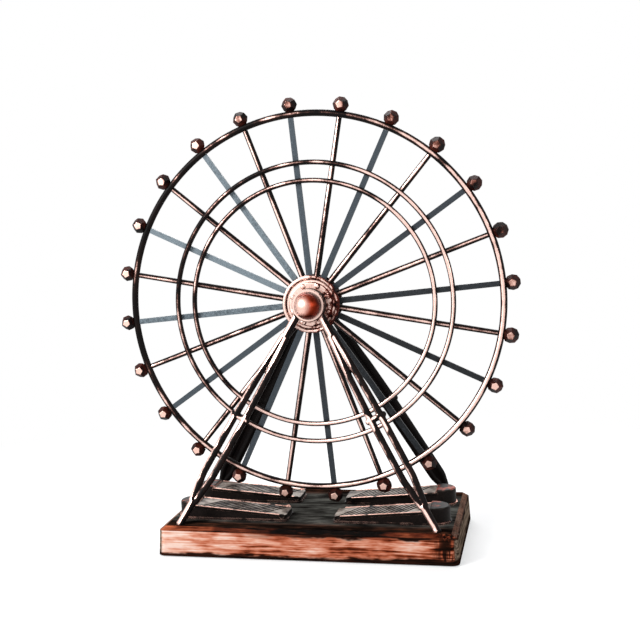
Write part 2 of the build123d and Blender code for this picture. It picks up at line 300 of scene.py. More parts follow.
def edge_sharpness(tree: bpy.types.NodeTree, radius_mm: float) -> bpy.types.NodeSocket:
    """Tell edges from open surface.

    Args:
        tree: The tree that gets the nodes.
        radius_mm: How far away an edge still counts.

    Returns:
        1 on open surface, less the nearer and the sharper an edge is.
    """
    rounded = add_node(tree, "ShaderNodeBevel", values={"Radius": radius_mm * MM}, samples=4)
    flat = add_node(tree, "ShaderNodeNewGeometry")
    return add_node(
        tree,
        "ShaderNodeVectorMath",
        {0: rounded.outputs["Normal"], 1: flat.outputs["Normal"]},
        operation="DOT_PRODUCT",
    ).outputs["Value"]


def add_relief(
    tree: bpy.types.NodeTree,
    shader: bpy.types.Node,
    height: bpy.types.NodeSocket,
    strength: float,
    depth_mm: float,
) -> None:
    """Give a surface the fine relief that is too small to be modelled.

    Args:
        tree: The tree that gets the node.
        shader: The shader of the surface.
        height: Pattern that gives the relief.
        strength: How much of it shows.
        depth_mm: Its depth.
    """
    bump = add_node(
        tree, "ShaderNodeBump", {"Height": height}, {"Strength": strength, "Distance": depth_mm * MM}
    )
    tree.links.new(bump.outputs["Normal"], shader.inputs["Normal"])


# ---- Finishes -----------------------------------------------------------------------------
@dataclass(frozen=True)
class Lean:
    """Even change across a piece from one side to the other: more rubbing on the wires and capsules, painted
    light on the hub and painted reflection on the strips.
    """

    direction: tuple[float, float, float]
    middle_mm: tuple[float, float, float]
    reach_mm: float
    # By turn, only the side of the middle counts, and not how far out from it a spot lies.
    by_turn: bool = False

    def build(self, tree: bpy.types.NodeTree, place: bpy.types.NodeSocket) -> bpy.types.NodeSocket:
        """Add the nodes.

        Args:
            tree: The tree that gets them.
            place: Object coordinates.

        Returns:
            -1 on the near side of the direction, 0 in the middle, 1 on the far side.
        """
        along = Vector(self.direction).normalized()
        middle = Vector(self.middle_mm) * MM
        offset = add_node(
            tree, "ShaderNodeVectorMath", {0: place}, {1: middle}, operation="SUBTRACT"
        ).outputs[0]
        if self.by_turn:
            offset = add_node(
                tree, "ShaderNodeVectorMath", {0: offset}, operation="NORMALIZE"
            ).outputs[0]
        else:
            along = along / (self.reach_mm * MM)
        return add_node(
            tree, "ShaderNodeVectorMath", {0: offset}, {1: along}, operation="DOT_PRODUCT"
        ).outputs["Value"]


@dataclass(frozen=True)
class Zones:
    """Change up a leg: what stands proud of it is rubbed more than the rest."""

    # Height of each zone's middle, and how far up and down from there it reaches.
    zones_mm: tuple[tuple[float, float], ...]
    # Share of that reach over which the zone is at its full strength.
    full_share: float = 0.4

    def build(self, tree: bpy.types.NodeTree, place: bpy.types.NodeSocket) -> bpy.types.NodeSocket:
        """Add the nodes.

        Args:
            tree: The tree that gets them.
            place: Object coordinates.

        Returns:
            1 at the middle of each zone, 0 outside all of them.
        """
        height = split(tree, place)["Z"]
        total: bpy.types.NodeSocket | float = 0.0
        for middle, reach in self.zones_mm:
            away = calculate(tree, "ABSOLUTE", calculate(tree, "SUBTRACT", height, middle * MM))
            zone = fit(tree, away, self.full_share * reach * MM, reach * MM, 1.0, 0.0)
            total = calculate(tree, "MAXIMUM", zone, total)
        return total


def wheel_lean() -> Lean:
    """Describe the change across the wheel: the wires are rubbed harder towards its lower right than its
    upper left, and the strips' painted reflection is paler towards its upper left.

    Returns:
        The change across the wheel.
    """
    return Lean((0.86, 0.0, -0.5), (0.0, 0.0, axle_height() / MM), 72.0)


@dataclass(frozen=True)
class AntiqueCopper:
    """Copper-plated zinc casting, blackened in a sulphide bath and rubbed back by hand.

    Black stays in hollows and where the rubbing didn't reach. Edges and the sides that were
    turned to it show pink copper, uneven because the hand was. The rub direction also faces the
    key lamp, so the pale pink on faces turned along it is partly painted highlight, and the
    black on faces turned away is partly painted shade.
    """

    name: str
    black: str = "#070505"
    brown: str = "#1c110e"
    copper: str = "#8f5f53"
    bright: str = "#ecc9be"
    # Direction the rubbing came from, which also faces the key lamp: faces turned along it get a painted
    # highlight, faces turned away painted shade.
    rub_and_light: tuple[float, float, float] = (-0.35, -0.92, 0.2)
    both_faces: bool = False
    wear_and_highlight_start: float = 0.88
    wear_and_highlight_end: float = 0.97
    edge_mm: float = 0.3
    edge_wear: float = 0.3
    # A lean or zones add rubbing across the piece, and on the hub they add painted light.
    lean: Lean | Zones | None = None
    lean_wear_and_light: float = 0.0
    blotch_mm: tuple[float, float, float] = (4.0, 4.0, 4.0)
    blotch: float = 0.25
    grain_mm: float = 0.35
    grain: float = 0.1
    pit_mm: float = 0.02
    gloss: float = 0.06
    black_roughness: float = 0.45
    copper_roughness: float = 0.38
    black_metal: float = 0.0

    def build(self) -> bpy.types.Material:
        """Make the material.

        Returns:
            The new material, which reads Object coordinates and normals only.
        """
        material, shader, place = start_material(self.name)
        tree = material.node_tree
        blotches = cloud(tree, place.outputs["Object"], self.blotch_mm, 3.0)
        grain = cloud(tree, place.outputs["Object"], (self.grain_mm,) * 3, 2.0)
        wear_and_highlight = self._wear_and_highlight(tree, place, blotches, grain)
        patina = ramp(tree, blotches, [(0.4, self.black), (0.75, self.brown)])
        # Half rubbed through, the copper is darker and duller than where it is bare; the palest copper also
        # stands for painted highlight.
        bare_and_highlit = calculate(tree, "MULTIPLY", wear_and_highlight, fit(tree, grain, 0.3, 0.6, 0.75, 1.0))
        copper = ramp(tree, bare_and_highlit, [(0.2, self.copper), (0.95, self.bright)])
        tree.links.new(blend_colours(tree, wear_and_highlight, patina, copper), shader.inputs["Base Color"])
        if self.black_metal < 1.0:
            tree.links.new(fit(tree, wear_and_highlight, 0.0, 1.0, self.black_metal, 1.0), shader.inputs["Metallic"])
        else:
            shader.inputs["Metallic"].default_value = 1.0
        rough = fit(tree, wear_and_highlight, 0.0, 1.0, self.black_roughness, self.copper_roughness)
        tree.links.new(rough, shader.inputs["Roughness"])
        # The sulphide film is nearly matt: it reflects much less than a lacquer would.
        shader.inputs["Specular IOR Level"].default_value = self.gloss
        add_relief(tree, shader, grain, 0.5, self.pit_mm)
        return material

    def _wear_and_highlight(
        self,
        tree: bpy.types.NodeTree,
        place: bpy.types.Node,
        blotches: bpy.types.NodeSocket,
        grain: bpy.types.NodeSocket,
    ) -> bpy.types.NodeSocket:
        """How far the black has been rubbed off, with the painted highlight on faces turned along the rub
        direction.

        Args:
            tree: The tree that gets the nodes.
            place: The piece's texture coordinates.
            blotches: Large uneven pattern.
            grain: Fine uneven pattern.

        Returns:
            0 for black, partly painted shade; 1 for bare copper, partly painted highlight.
        """
        # Painted highlight and painted shade: the nearer a face turns to the rub direction, the paler it is,
        # on top of the real rubbing.
        along = Vector(self.rub_and_light).normalized()
        turned = split(tree, place.outputs["Normal"])
        deep = turned["Y"]
        if self.both_faces:
            deep = calculate(tree, "MULTIPLY", calculate(tree, "ABSOLUTE", deep), -1.0)
        total = calculate(tree, "MULTIPLY", turned["X"], along.x)
        total = calculate(tree, "MULTIPLY_ADD", deep, along.y, total)
        total = calculate(tree, "MULTIPLY_ADD", turned["Z"], along.z, total)
        if self.edge_wear > 0:
            sharp = edge_sharpness(tree, self.edge_mm)
            total = calculate(tree, "ADD", total, fit(tree, sharp, 0.99, 0.85, 0.0, self.edge_wear))
        if self.lean is not None:
            share = self.lean.build(tree, place.outputs["Object"])
            total = calculate(tree, "MULTIPLY_ADD", share, self.lean_wear_and_light, total)
        total = swing(tree, blotches, self.blotch, total)
        total = swing(tree, grain, self.grain, total)
        return fit(tree, total, self.wear_and_highlight_start, self.wear_and_highlight_end)


@dataclass(frozen=True)
class PlinthCopper:
    """The same blackened copper plate on the plinth, brushed lengthwise by hand.

    The top keeps nearly all its black, with a painted shade darker and browner along its long
    edges. The long sides are rubbed to pale pink copper, and painted light makes them palest
    at the left and darker towards the right end. The ends are brown, and the sides are darker
    along the foot, below the shoulder and at the right corner.
    """

    name: str
    half_width_mm: float
    half_depth_mm: float
    black: str = "#080605"
    band_brown: str = "#2e160e"
    rust: str = "#5e2614"
    orange: str = "#a2583e"
    copper: str = "#c08a74"
    bright: str = "#cdb4a8"
    shoulder_orange: str = "#c46743"
    end_brown: str = "#4f4338"
    end_pale: str = "#7d6b5d"
    top_slate: str = "#343330"
    top_dust: str = "#5a5a55"
    # Colours and width of the painted shade along the long edges of the top.
    top_shade_brown: str = "#241711"
    top_shade_warm: str = "#4b2a1d"
    roughness: float = 0.45
    stroke_mm: tuple[float, float, float] = (14.0, 0.9, 0.6)
    end_stroke_mm: tuple[float, float, float] = (0.9, 14.0, 0.8)
    patch_mm: tuple[float, float, float] = (13.0, 7.0, 4.0)
    corner_streak_mm: tuple[float, float, float] = (0.9, 0.9, 9.0)
    # Sizes of the darker bands on the sides: along the foot, below the shoulder and at the right corner.
    foot_band_mm: tuple[float, float] = (1.2, 2.3)
    foot_band_growth_mm: float = 0.8
    shoulder_band_mm: tuple[float, float] = (8.2, 9.2)
    shoulder_foot_mm: tuple[float, float] = (9.9, 10.2)
    shoulder_band_run_mm: tuple[float, float] = (-35.0, 5.0)
    band_waver_mm: float = 5.0
    corner_band_mm: tuple[float, float] = (11.0, 5.0)
    top_shade_border_mm: tuple[float, float] = (14.0, 7.0)

    def build(self) -> bpy.types.Material:
        """Make the material.

        Returns:
            The new material, which reads Object coordinates and normals only.
        """
        material, shader, place = start_material(self.name)
        tree = material.node_tree
        spot = split(tree, place.outputs["Object"])
        turned = split(tree, place.outputs["Normal"])
        # Brush strokes are about 0.3 mm apart on the real one; 0.6 mm is what still shows.
        strokes = cloud(tree, place.outputs["Object"], self.stroke_mm, 4.0)
        end_strokes = cloud(tree, place.outputs["Object"], self.end_stroke_mm, 3.0)
        patches = cloud(tree, place.outputs["Object"], self.patch_mm, 3.0)
        uneven = calculate(tree, "MULTIPLY_ADD", strokes, 0.5, calculate(tree, "MULTIPLY", patches, 0.5))
        colour = self._sides(tree, spot, uneven)
        shoulder = fit(tree, turned["Z"], 0.15, 0.45)
        colour = blend_colours(tree, shoulder, colour, self._shoulder(tree, spot, uneven))
        ends = fit(tree, calculate(tree, "ABSOLUTE", turned["X"]), 0.35, 0.6)
        brown = ramp(tree, end_strokes, [(0.3, self.black), (0.47, self.end_brown), (0.68, self.end_pale)])
        colour = blend_colours(tree, ends, colour, brown)
        dark_bands = self._dark_bands(tree, place, spot, patches, ends)
        dark = ramp(tree, strokes, [(0.4, self.black), (0.75, self.band_brown)])
        colour = blend_colours(tree, dark_bands, colour, dark)
        top = fit(tree, turned["Z"], 0.8, 0.97)
        colour = blend_colours(tree, top, colour, self._top(tree, spot, uneven))
        tree.links.new(colour, shader.inputs["Base Color"])
        covered = calculate(tree, "MAXIMUM", top, calculate(tree, "MAXIMUM", dark_bands, ends))
        tree.links.new(fit(tree, covered, 0.0, 1.0, 0.75, 0.0), shader.inputs["Metallic"])
        shader.inputs["Roughness"].default_value = self.roughness
        # The sulphide film is matt, so the plate stays dark when it is seen at a low angle.
        shader.inputs["Specular IOR Level"].default_value = 0.0
        add_relief(tree, shader, strokes, 0.4, 0.05)
        return material

    def _sides(
        self,
        tree: bpy.types.NodeTree,
        spot: bpy.types.NodeOutputs,
        uneven: bpy.types.NodeSocket,
    ) -> bpy.types.NodeSocket:
        """Colour of the rubbed long sides, with painted light palest at the left and painted shade at the
        right end.

        Args:
            tree: The tree that gets the nodes.
            spot: Object coordinates, split.
            uneven: Strokes and patches, from 0 to 1.

        Returns:
            The colour.
        """
        half = self.half_width_mm * MM
        # Painted light: the long sides glow palest round a spot near the left end and darken at the right
        # end.
        away = calculate(tree, "ABSOLUTE", calculate(tree, "ADD", spot["X"], 0.82 * half))
        painted_light = fit(tree, away, 0.0, 0.5 * half, 0.14, 0.0)
        right = fit(tree, spot["X"], 0.7 * half, 0.95 * half, 0.02, -0.1)
        painted_light = calculate(tree, "ADD", painted_light, right)
        spread = swing(tree, uneven, 1.5, 0.5)
        stops = [
            (0.3, self.black),
            (0.4, self.rust),
            (0.5, self.orange),
            (0.62, self.copper),
            (0.76, self.bright),
        ]
        return ramp(tree, calculate(tree, "ADD", spread, painted_light), stops)

    def _shoulder(
        self,
        tree: bpy.types.NodeTree,
        spot: bpy.types.NodeOutputs,
        uneven: bpy.types.NodeSocket,
    ) -> bpy.types.NodeSocket:
        """Colour of the bevelled shoulder: orange towards the corners, black in between.

        Args:
            tree: The tree that gets the nodes.
            spot: Object coordinates, split.
            uneven: Strokes and patches, from 0 to 1.

        Returns:
            The colour.
        """
        out = calculate(tree, "ABSOLUTE", spot["X"])
        corner = fit(tree, out, 25 * MM, 50 * MM, 0.0, 0.16)
        stops = [(0.49, self.black), (0.6, self.rust), (0.74, self.shoulder_orange)]
        return ramp(tree, calculate(tree, "ADD", uneven, corner), stops)

    def _top(
        self,
        tree: bpy.types.NodeTree,
        spot: bpy.types.NodeOutputs,
        uneven: bpy.types.NodeSocket,
    ) -> bpy.types.NodeSocket:
        """Colour of the top face: black with greyer streaks, and a painted shade darker and browner towards
        the long edges.

        Args:
            tree: The tree that gets the nodes.
            spot: Object coordinates, split.
            uneven: Strokes and patches, from 0 to 1.

        Returns:
            The colour.
        """
        streaks = ramp(tree, uneven, [(0.4, self.black), (0.5, self.top_slate), (0.62, self.top_dust)])
        # Painted shade along the long edges of the top.
        brown = ramp(tree, uneven, [(0.44, self.black), (0.53, self.top_shade_brown), (0.62, self.top_shade_warm)])
        border, end = ((self.half_depth_mm - inset) * MM for inset in self.top_shade_border_mm)
        share = fit(tree, calculate(tree, "ABSOLUTE", spot["Y"]), border, end)
        return blend_colours(tree, share, streaks, brown)

    def _dark_bands(
        self,
        tree: bpy.types.NodeTree,
        place: bpy.types.Node,
        spot: bpy.types.NodeOutputs,
        patches: bpy.types.NodeSocket,
        ends: bpy.types.NodeSocket,
    ) -> bpy.types.NodeSocket:
        """Where the sides are darker: along the foot, below the shoulder and at the right corner.

        Args:
            tree: The tree that gets the nodes.
            place: The piece's texture coordinates.
            spot: Object coordinates, split.
            patches: Large uneven pattern.
            ends: 1 on the short sides, 0 elsewhere.

        Returns:
            0 for rubbed copper, 1 for black.
        """
        height = swing(tree, patches, self.band_waver_mm * MM, spot["Z"])
        thicker = fit(tree, spot["X"], 0.0, self.half_width_mm * MM, 0.0, self.foot_band_growth_mm * MM)
        height = calculate(tree, "SUBTRACT", height, thicker)
        full, gone = (level * MM for level in self.foot_band_mm)
        foot = fit(tree, height, gone, full)

        start, full = ((self.half_width_mm - inset) * MM for inset in self.corner_band_mm)
        upright = cloud(tree, place.outputs["Object"], self.corner_streak_mm, 3.0)
        corner = fit(tree, spot["X"], start, full)
        corner = calculate(tree, "MULTIPLY", corner, fit(tree, upright, 0.38, 0.52))
        corner = calculate(tree, "MULTIPLY", corner, rest_of(tree, ends))

        start, full = (level * MM for level in self.shoulder_band_mm)
        left, right = (run * MM for run in self.shoulder_band_run_mm)
        inside, outside = (level * MM for level in self.shoulder_foot_mm)
        under = fit(tree, height, start, full)
        under = calculate(tree, "MULTIPLY", under, fit(tree, spot["X"], left, right))
        under = calculate(tree, "MULTIPLY", under, fit(tree, spot["Z"], outside, inside))
        return calculate(tree, "MAXIMUM", calculate(tree, "MAXIMUM", foot, under), corner)


@dataclass(frozen=True)
class RampCopper:
    """Blackened casting of the ramps: brown-grey ribs, red copper on the landings."""

    name: str = "rubbed_ramp_casting"
    tread_start_mm: float = 9.0
    tread_start_height_mm: float = 13.4
    tread_end_mm: float = 43.8
    tread_end_height_mm: float = 16.3
    # Depths under the tread from which a spot is in a groove, and up to which it is on a rib.
    groove_mm: tuple[float, float] = (0.14, 0.04)
    # Depths under the tread between which the rub of the outer edges starts.
    outer_edge_mm: tuple[float, float] = (0.95, 0.75)
    edge_mm: float = 0.35
    black: str = "#090706"
    warm_black: str = "#1d1614"
    rib_dark: str = "#16110f"
    rib_brown: str = "#6d6159"
    rib: str = "#958c84"
    red: str = "#8e4232"
    landing_copper: str = "#c98672"
    pink: str = "#e3b4a4"

    def build(self) -> bpy.types.Material:
        """Make the material.

        Returns:
            The new material, which reads Object coordinates and normals only.
        """
        material, shader, place = start_material(self.name)
        tree = material.node_tree
        spot = split(tree, place.outputs["Object"])
        blotches = cloud(tree, place.outputs["Object"], (5.0, 5.0, 5.0), 3.0)
        grain = cloud(tree, place.outputs["Object"], (0.5, 0.5, 0.5), 2.0)
        out = calculate(tree, "ABSOLUTE", spot["X"])
        above = calculate(tree, "SUBTRACT", spot["Z"], self._tread_height(tree, out))
        sharp = edge_sharpness(tree, self.edge_mm)
        up = fit(tree, split(tree, place.outputs["Normal"])["Z"], 0.5, 0.85)
        deep, shallow = (-depth * MM for depth in self.groove_mm)
        # Black stays on the shoulders of the ribs, where the rubbing didn't reach.
        raised = calculate(tree, "MULTIPLY", fit(tree, above, deep, shallow), fit(tree, sharp, 0.93, 0.995))
        rib = ramp(tree, blotches, [(0.36, self.rib_dark), (0.5, self.rib_brown), (0.6, self.rib)])
        patina = ramp(tree, grain, [(0.3, self.black), (0.8, self.warm_black)])
        colour = blend_colours(tree, calculate(tree, "MULTIPLY", up, raised), patina, rib)
        landing = fit(tree, out, (self.tread_end_mm - 0.3) * MM, (self.tread_end_mm + 0.3) * MM)
        copper = ramp(tree, blotches, [(0.5, self.black), (0.62, self.red), (0.75, self.landing_copper)])
        colour = blend_colours(tree, calculate(tree, "MULTIPLY", up, landing), colour, copper)
        worn = self._worn(tree, above, landing, blotches, sharp)
        pink = ramp(tree, grain, [(0.25, self.red), (0.48, self.pink)])
        colour = blend_colours(tree, worn, colour, pink)
        tree.links.new(colour, shader.inputs["Base Color"])
        tree.links.new(worn, shader.inputs["Metallic"])
        shader.inputs["Roughness"].default_value = 0.5
        # The sulphide film is nearly matt.
        shader.inputs["Specular IOR Level"].default_value = 0.05
        add_relief(tree, shader, grain, 0.5, 0.05)
        return material

    def _tread_height(self, tree: bpy.types.NodeTree, out: bpy.types.NodeSocket) -> bpy.types.NodeSocket:
        """Height of the sloping tread.

        Args:
            tree: The tree that gets the node.
            out: Distance from the middle of the plinth, along it.

        Returns:
            The height, which stays level beyond the tread's ends.
        """
        return add_node(
            tree,
            "ShaderNodeMapRange",
            {"Value": out},
            {
                "From Min": self.tread_start_mm * MM,
                "From Max": self.tread_end_mm * MM,
                "To Min": self.tread_start_height_mm * MM,
                "To Max": self.tread_end_height_mm * MM,
            },
        ).outputs["Result"]

    def _worn(
        self,
        tree: bpy.types.NodeTree,
        above: bpy.types.NodeSocket,
        landing: bpy.types.NodeSocket,
        blotches: bpy.types.NodeSocket,
        sharp: bpy.types.NodeSocket,
    ) -> bpy.types.NodeSocket:
        """Where the beads along the tread and the outer edges caught the rubbing.

        Args:
            tree: The tree that gets the nodes.
            above: Height above the tread.
            landing: 1 on the landing, 0 on the tread.
            blotches: Large uneven pattern.
            sharp: 1 on open surface, less near edges.

        Returns:
            0 for black, 1 for bare copper.
        """
        bead = fit(tree, above, 0.02 * MM, 0.08 * MM)
        bead = calculate(tree, "MULTIPLY", bead, rest_of(tree, landing))
        bead = calculate(tree, "MULTIPLY", bead, fit(tree, blotches, 0.34, 0.42))
        low, high = (-depth * MM for depth in self.outer_edge_mm)
        outer = fit(tree, above, low, high, 0.35, 0.0)
        edges = calculate(tree, "MULTIPLY", fit(tree, sharp, 0.97, 0.85), fit(tree, blotches, 0.42, 0.56))
        edges = calculate(tree, "MULTIPLY", edges, calculate(tree, "MAXIMUM", landing, outer))
        return calculate(tree, "MAXIMUM", edges, bead)


@dataclass(frozen=True)
class BlackenedStrip:
    """Flat copper-plated strip left in its black, with a fine tooth; its matt slate grey is painted
    reflection of the bright surroundings.
    """

    name: str
    lean: Lean
    dark: str = "#0e1013"
    middle: str = "#262b30"
    slate: str = "#343c42"
    pale: str = "#5c666c"
    tooth_mm: float = 0.7

    def build(self) -> bpy.types.Material:
        """Make the material.

        Returns:
            The new material.
        """
        material, shader, place = start_material(self.name)
        tree = material.node_tree
        tooth = cloud(tree, place.outputs["Object"], (self.tooth_mm,) * 3, 3.0)
        share = self.lean.build(tree, place.outputs["Object"])
        # Painted reflection: the strips are painted paler towards the upper left of the wheel and darker
        # towards the lower right.
        painted_reflection = calculate(tree, "MULTIPLY_ADD", share, -0.42, 0.5)
        painted_reflection = swing(tree, tooth, 0.35, painted_reflection)
        stops = [(0.08, self.dark), (0.32, self.middle), (0.77, self.slate), (0.9, self.pale)]
        tree.links.new(ramp(tree, painted_reflection, stops), shader.inputs["Base Color"])
        shader.inputs["Specular IOR Level"].default_value = 0.2
        shader.inputs["Roughness"].default_value = 0.5
        add_relief(tree, shader, tooth, 0.4, 0.04)
        return material


@dataclass(frozen=True)
class TurnedSteel:
    """Bright turned steel of the washers and screws, with fine tool marks."""

    name: str = "turned_steel"
    mark_mm: tuple[float, float, float] = (0.4, 0.1, 0.4)
    dark: str = "#6e7073"
    bright: str = "#a3a5a8"

    def build(self) -> bpy.types.Material:
        """Make the material.

        Returns:
            The new material.
        """
        material, shader, place = start_material(self.name)
        tree = material.node_tree
        marks = cloud(tree, place.outputs["Object"], self.mark_mm, 2.0)
        tree.links.new(ramp(tree, marks, [(0.3, self.dark), (0.7, self.bright)]), shader.inputs["Base Color"])
        shader.inputs["Metallic"].default_value = 1.0
        shader.inputs["Roughness"].default_value = 0.32
        return material


@dataclass(frozen=True)
class Felt:
    """Pressed black wool felt: matt, with a faint nap."""

    name: str = "black_pressed_felt"
    # Fibres are 0.02 mm thick; tufts of 0.6 mm are what still shows.
    tuft_mm: float = 0.6
    dark: str = "#0b0b0c"
    pale: str = "#1f1f21"

    def build(self) -> bpy.types.Material:
        """Make the material.

        Returns:
            The new material.
        """
        material, shader, place = start_material(self.name)
        tree = material.node_tree
        tufts = cloud(tree, place.outputs["Object"], (self.tuft_mm,) * 3, 4.0)
        tree.links.new(ramp(tree, tufts, [(0.3, self.dark), (0.7, self.pale)]), shader.inputs["Base Color"])
        shader.inputs["Roughness"].default_value = 0.95
        add_relief(tree, shader, tufts, 0.6, 0.1)
        return material


# ---- Geometry Nodes -----------------------------------------------------------------------
RING_STEPS = 360
WIRE_STEPS = 20
SWELL_MM = 5.0


def new_tree(name: str, inputs: dict[str, str]) -> tuple[bpy.types.NodeTree, bpy.types.NodeOutputs]:
    """Start a Geometry Nodes tree with named inputs.

    Args:
        name: The tree's name.
        inputs: Input name to socket type.

    Returns:
        The tree and the sockets that give its inputs.
    """
    tree = bpy.data.node_groups.new(name, "GeometryNodeTree")
    tree.interface.new_socket("Geometry", in_out="OUTPUT", socket_type="NodeSocketGeometry")
    for label, kind in inputs.items():
        tree.interface.new_socket(label, in_out="INPUT", socket_type=kind)
    return tree, add_node(tree, "NodeGroupInput").outputs


def end_tree(tree: bpy.types.NodeTree, mesh: bpy.types.NodeSocket, given: bpy.types.NodeOutputs) -> None:
    """Close a tree by making its instances real, giving its material and adding its output.

    Args:
        tree: The tree.
        mesh: The finished geometry.
        given: The tree's inputs, of which Material is one.
    """
    real = add_node(tree, "GeometryNodeRealizeInstances", {"Geometry": mesh}).outputs[0]
    links = {"Geometry": real, "Material": given["Material"]}
    painted = add_node(tree, "GeometryNodeSetMaterial", links).outputs[0]
    add_node(tree, "NodeGroupOutput", {"Geometry": painted})


def ring_tree() -> bpy.types.NodeTree:
    """Tree that sweeps a round wire of slightly uneven thickness round the axle.

    Returns:
        The tree, with its sizes as named inputs.
    """
    tree, given = new_tree(
        "wire_ring_round_the_axle",
        {
            "Radius": "NodeSocketFloat",
            "Wire Radius": "NodeSocketFloat",
            "Depth": "NodeSocketFloat",
            "Axle Height": "NodeSocketFloat",
            "Unevenness": "NodeSocketFloat",
            "Seed": "NodeSocketFloat",
            "Material": "NodeSocketMaterial",
        },
    )
    circle = add_node(
        tree, "GeometryNodeCurvePrimitiveCircle", {"Radius": given["Radius"]}, {"Resolution": RING_STEPS}
    )
    position = add_node(tree, "GeometryNodeInputPosition").outputs[0]
    noise = add_node(
        tree,
        "ShaderNodeTexNoise",
        {"Vector": position, "W": given["Seed"]},
        {"Scale": 1 / (SWELL_MM * MM), "Detail": 2.0},
        noise_dimensions="4D",
    ).outputs[0]
    thickness = swing(tree, noise, given["Unevenness"], 1.0)
    uneven = add_node(
        tree, "GeometryNodeSetCurveRadius", {"Curve": circle.outputs[0], "Radius": thickness}
    ).outputs[0]
    section = add_node(
        tree,
        "GeometryNodeCurvePrimitiveCircle",
        {"Radius": given["Wire Radius"]},
        {"Resolution": WIRE_STEPS},
    ).outputs[0]
    swept = add_node(tree, "GeometryNodeCurveToMesh", {"Curve": uneven, "Profile Curve": section}).outputs[0]
    smooth = add_node(tree, "GeometryNodeSetShadeSmooth", {0: swept}, {"Shade Smooth": True}).outputs[0]
    middle = add_node(
        tree, "ShaderNodeCombineXYZ", {"Y": given["Depth"], "Z": given["Axle Height"]}
    ).outputs[0]
    upright = add_node(
        tree,
        "GeometryNodeTransform",
        {"Geometry": smooth, "Translation": middle},
        {"Rotation": (math.pi / 2, 0.0, 0.0)},
    ).outputs[0]
    end_tree(tree, upright, given)
    return tree


def pattern_tree() -> bpy.types.NodeTree:
    """Tree that sets copies of one piece round the axle, each a little different in size.

    Returns:
        The tree, with its sizes as named inputs.
    """
    tree, given = new_tree(
        "pieces_round_the_axle",
        {
            "Piece": "NodeSocketObject",
            "Count": "NodeSocketInt",
            "Circle Radius": "NodeSocketFloat",
            "First Angle": "NodeSocketFloat",
            "Axle Height": "NodeSocketFloat",
            "Size Spread": "NodeSocketFloat",
            "Seed": "NodeSocketInt",
            "Material": "NodeSocketMaterial",
        },
    )
    index = add_node(tree, "GeometryNodeInputIndex").outputs[0]
    step = calculate(tree, "DIVIDE", 2 * math.pi, given["Count"])
    angle = calculate(tree, "MULTIPLY_ADD", index, step, given["First Angle"])
    across = calculate(tree, "MULTIPLY", calculate(tree, "COSINE", angle), given["Circle Radius"])
    rise = calculate(tree, "MULTIPLY", calculate(tree, "SINE", angle), given["Circle Radius"])
    height = calculate(tree, "ADD", rise, given["Axle Height"])
    spot = add_node(tree, "ShaderNodeCombineXYZ", {"X": across, "Z": height}).outputs[0]
    points = add_node(tree, "GeometryNodePoints", {"Count": given["Count"], "Position": spot}).outputs[0]
    turn = add_node(
        tree, "ShaderNodeCombineXYZ", {"Y": calculate(tree, "MULTIPLY", angle, -1.0)}
    ).outputs[0]
    spread = add_node(
        tree,
        "FunctionNodeRandomValue",
        {"Seed": given["Seed"]},
        {2: -1.0, 3: 1.0},
        data_type="FLOAT",
    ).outputs[1]
    size = calculate(tree, "MULTIPLY_ADD", spread, given["Size Spread"], 1.0)
    piece = add_node(tree, "GeometryNodeObjectInfo", {"Object": given["Piece"]}).outputs["Geometry"]
    copies = add_node(
        tree,
        "GeometryNodeInstanceOnPoints",
        {"Points": points, "Instance": piece, "Rotation": turn, "Scale": size},
    ).outputs[0]
    end_tree(tree, copies, given)
    return tree


def grow(name: str, tree: bpy.types.NodeTree, values: dict[str, object]) -> bpy.types.Object:
    """Run a tree once and keep its result as a plain mesh.

    Args:
        name: The new piece's name.
        tree: The Geometry Nodes tree.
        values: Input name to value.

    Returns:
        The piece, with no modifier on it.
    """
    piece = bpy.data.objects.new(name, bpy.data.meshes.new(name))
    bpy.context.scene.collection.objects.link(piece)
    modifier = piece.modifiers.new("nodes", "NODES")
    modifier.node_group = tree
    identifiers = {
        socket.name: socket.identifier
        for socket in tree.interface.items_tree
        if socket.item_type == "SOCKET" and socket.in_out == "INPUT"
    }
    for label, value in values.items():
        modifier[identifiers[label]] = value
    ready = piece.evaluated_get(bpy.context.evaluated_depsgraph_get())
    mesh = bpy.data.meshes.new_from_object(ready)
    piece.modifiers.clear()
    piece.data = mesh
    mesh.name = name
    return piece


def template(name: str, build: "bmesh.types.BMesh") -> bpy.types.Object:
    """Turn a finished bmesh into a hidden object that a tree copies.

    Args:
        name: The object's name.
        build: The mesh, which is freed.

    Returns:
        The object, which isn't linked to the scene.
    """
    mesh = bpy.data.meshes.new(name)
    bmesh.ops.recalc_face_normals(build, faces=build.faces)
    build.to_mesh(mesh)
    build.free()
    return bpy.data.objects.new(name, mesh)


# ---- Pieces -------------------------------------------------------------------------------
WELD_MM = 0.001


def cast_skin(name: str, node: str, voxel_mm: float, rounds: int) -> bpy.types.Object:
    """Copy a frame piece as one soft-edged casting, with fillets where its bars meet.

    Args:
        name: The new piece's name.
        node: The frame piece that it follows and stands for.
        voxel_mm: Size of the grid that the copy is rebuilt on.
        rounds: How often the copy is smoothed.

    Returns:
        The new piece.
    """
    piece = bpy.data.objects.new(name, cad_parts[node].data.copy())
    bpy.context.scene.collection.objects.link(piece)
    build = bmesh.new()
    build.from_mesh(piece.data)
    bmesh.ops.remove_doubles(build, verts=build.verts, dist=WELD_MM * MM)
    build.to_mesh(piece.data)
    build.free()
    grid = piece.modifiers.new("grid", "REMESH")
    grid.mode = "VOXEL"
    grid.voxel_size = voxel_mm * MM
    grid.use_smooth_shade = True
    soft = piece.modifiers.new("soft", "SMOOTH")
    soft.factor = 0.5
    soft.iterations = rounds
    ready = piece.evaluated_get(bpy.context.evaluated_depsgraph_get())
    mesh = bpy.data.meshes.new_from_object(ready)
    piece.modifiers.clear()
    piece.data = mesh
    mesh.name = name
    return piece


